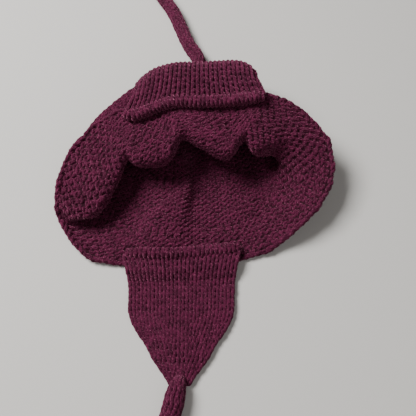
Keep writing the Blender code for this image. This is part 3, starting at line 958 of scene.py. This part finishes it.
# %% The twisted edge
EDGE_PITCH = 0.0110  # one turn of the two strands round each other
EDGE_STRAND = 0.00175
EDGE_WAVER = 0.0007
EDGE_SWELL = 150.0  # how much thicker a strand gets for each metre that the edge wavers outwards
EDGE_STEPS = 640
EDGE_WAVERS = 80  # places round the edge where it wavers
edge_round = respaced(round_trip[0], lengths_along(round_trip[0]), EDGE_STEPS + 1)[:-1]
edge_shares = np.arange(EDGE_STEPS) / EDGE_STEPS
_, edge_outs = read(knitted_crown, edge_shares, np.zeros(EDGE_STEPS))
waver_at = np.linspace(0, EDGE_STEPS, EDGE_WAVERS + 1)
waver = np.stack([
    np.interp(np.arange(EDGE_STEPS), waver_at, np.append(values, values[0]))
    for values in EDGE_WAVER * draw.standard_normal((2, EDGE_WAVERS))
])
edge_tangents = unit(np.roll(edge_round, -1, axis=0) - np.roll(edge_round, 1, axis=0))
edge_sides = np.cross(edge_tangents, edge_outs)
turns_round = int(round(rounds[0] / EDGE_PITCH))
edge_round = edge_round + waver[0][:, None] * edge_outs + waver[1][:, None] * edge_sides
edge_strands = []
for start in (0.0, pi):
    angle = start + 2 * pi * turns_round * edge_shares
    outs = np.cos(angle)[:, None] * edge_outs + np.sin(angle)[:, None] * edge_sides
    thickness = EDGE_STRAND * (1.0 + EDGE_SWELL * waver[0])
    edge_strands.append(tube(edge_round + outs * EDGE_STRAND * 0.5, outs, thickness, True))
mouth_edge = strands_to_piece("crown_mouth_edge", edge_strands, plum_yarn)

# %% [markdown]
# ## Loose fibres
# Wool is never clean: short fibres stand off every strand and soften the hat's outline. A hair system
# would make them too, but isn't a mesh. Each is a thin closed needle of three sides that starts in the
# yarn and leans over a little. Their colour is lighter than the yarn's, a painted highlight for fibres
# that catch the light.

# %% Fibres on the faces of a knitted piece
FIBRE_LENGTH = 0.0026
FIBRE_SHORTEST = 0.35  # share of that length
FIBRE_WIDTH = 0.00006
FIBRE_LEAN = 0.9  # how far it may lean away from the face that it stands on
FIBRE_BEND = 0.35  # share of its length that its tip may bend by
FIBRE_ROOT = 0.0002  # how deep it starts in the strand
FIBRE_WAIST, WAIST_WIDTH = 0.55, 0.7  # where its middle ring is, and how wide
FLOOR_CLEAR = 0.0001
NEEDLE_FACES = [
    (2, 1, 0), (0, 1, 4, 3), (1, 2, 5, 4), (2, 0, 3, 5), (3, 4, 6), (4, 5, 6), (5, 3, 6),
]
NEEDLE_POINTS = 7
NEEDLE_TRIANGLES = 10


def add_fibres(name, knit, count):
    """Needles at random faces of a knitted piece, as one mesh of closed bodies."""
    mesh = knit.data
    centres, normals = (np.empty((len(mesh.polygons), 3), np.float32) for _ in range(2))
    mesh.polygons.foreach_get("center", centres.ravel())
    mesh.polygons.foreach_get("normal", normals.ravel())
    picked = draw.integers(0, len(centres), count)
    out = unit(normals[picked] + FIBRE_LEAN * draw.uniform(-1, 1, (count, 3)))
    lengths = FIBRE_LENGTH * draw.uniform(FIBRE_SHORTEST, 1.0, (count, 1))
    root = centres[picked] - FIBRE_ROOT * out
    first = unit(np.cross(out, draw.uniform(-1, 1, (count, 3))))
    second = np.cross(out, first)
    bend = first * lengths * draw.uniform(-FIBRE_BEND, FIBRE_BEND, (count, 1))
    angles = (2 * pi * np.arange(3) / 3)[None, :, None]
    ring = FIBRE_WIDTH * (np.cos(angles) * first[:, None] + np.sin(angles) * second[:, None])
    waist = root + out * lengths * FIBRE_WAIST
    tip = root + out * lengths + bend
    points = np.concatenate((root[:, None] + ring, waist[:, None] + ring * WAIST_WIDTH, tip[:, None]), axis=1)
    points[..., 2] = np.maximum(points[..., 2], FLOOR_CLEAR)
    fuzz = bpy.data.meshes.new(name)
    faces = [tuple(NEEDLE_POINTS * k + v for v in face) for k in range(count) for face in NEEDLE_FACES]
    fuzz.from_pydata(points.reshape(-1, 3).tolist(), [], faces)
    new_piece(name, fuzz, plum_fibre_highlight)
    print(name, count, "fibres,", count * NEEDLE_TRIANGLES, "triangles")


for knit, count in (
    (bpy.data.objects["crown_knit_mouth"], 7000), (bpy.data.objects["crown_knit_lip"], 3500),
    (mouth_edge, 1200), (near_knit, 2200), (far_knit, 2400), (near_welt, 500), (far_welt, 700),
    (tie_near, 900), (tie_far, 700),
):
    add_fibres(knit.name + "_fuzz", knit, count)

# %% [markdown]

# %% [markdown]
# ## Floor and light
# A plain pale floor and soft studio light. The key stands behind and to the left of the hat, so its
# shadow falls to the lower right, and the cave behind the lips stays dark. A weak wide fill from the
# near side lifts the flap that faces it.

# %% Floor
FLOOR_SIZE = 30.0
bpy.ops.object.select_all(action="DESELECT")
bpy.ops.mesh.primitive_plane_add(size=FLOOR_SIZE, location=(0, 0, 0))
floor = bpy.context.object
floor.name = "floor"
pale = bpy.data.materials.new("pale_floor")
pale.use_nodes = True
finish = pale.node_tree.nodes["Principled BSDF"].inputs
finish["Base Color"].default_value = (0.62, 0.60, 0.57, 1.0)
finish["Roughness"].default_value = 0.8
floor.data.materials.append(pale)
print("floor", FLOOR_SIZE, "m wide")


# %% Lights
def area_light(name, where, size, power):
    """A square light that faces the hat."""
    bpy.ops.object.light_add(type="AREA", location=where, rotation=facing(where, (0, 0, 0)))
    light = bpy.context.object
    light.name = name
    light.data.size = size
    light.data.energy = power
    print(name, "light", power, "W")


area_light("key", where=(-0.80, 0.38, 1.12), size=0.62, power=34.5)
area_light("fill", where=(0.45, -1.15, 1.25), size=1.6, power=7.0)
world = bpy.data.worlds.new("studio")
world.use_nodes = True
background = world.node_tree.nodes["Background"].inputs
background["Color"].default_value = (1.0, 0.98, 0.96, 1.0)
background["Strength"].default_value = 0.11
bpy.context.scene.world = world
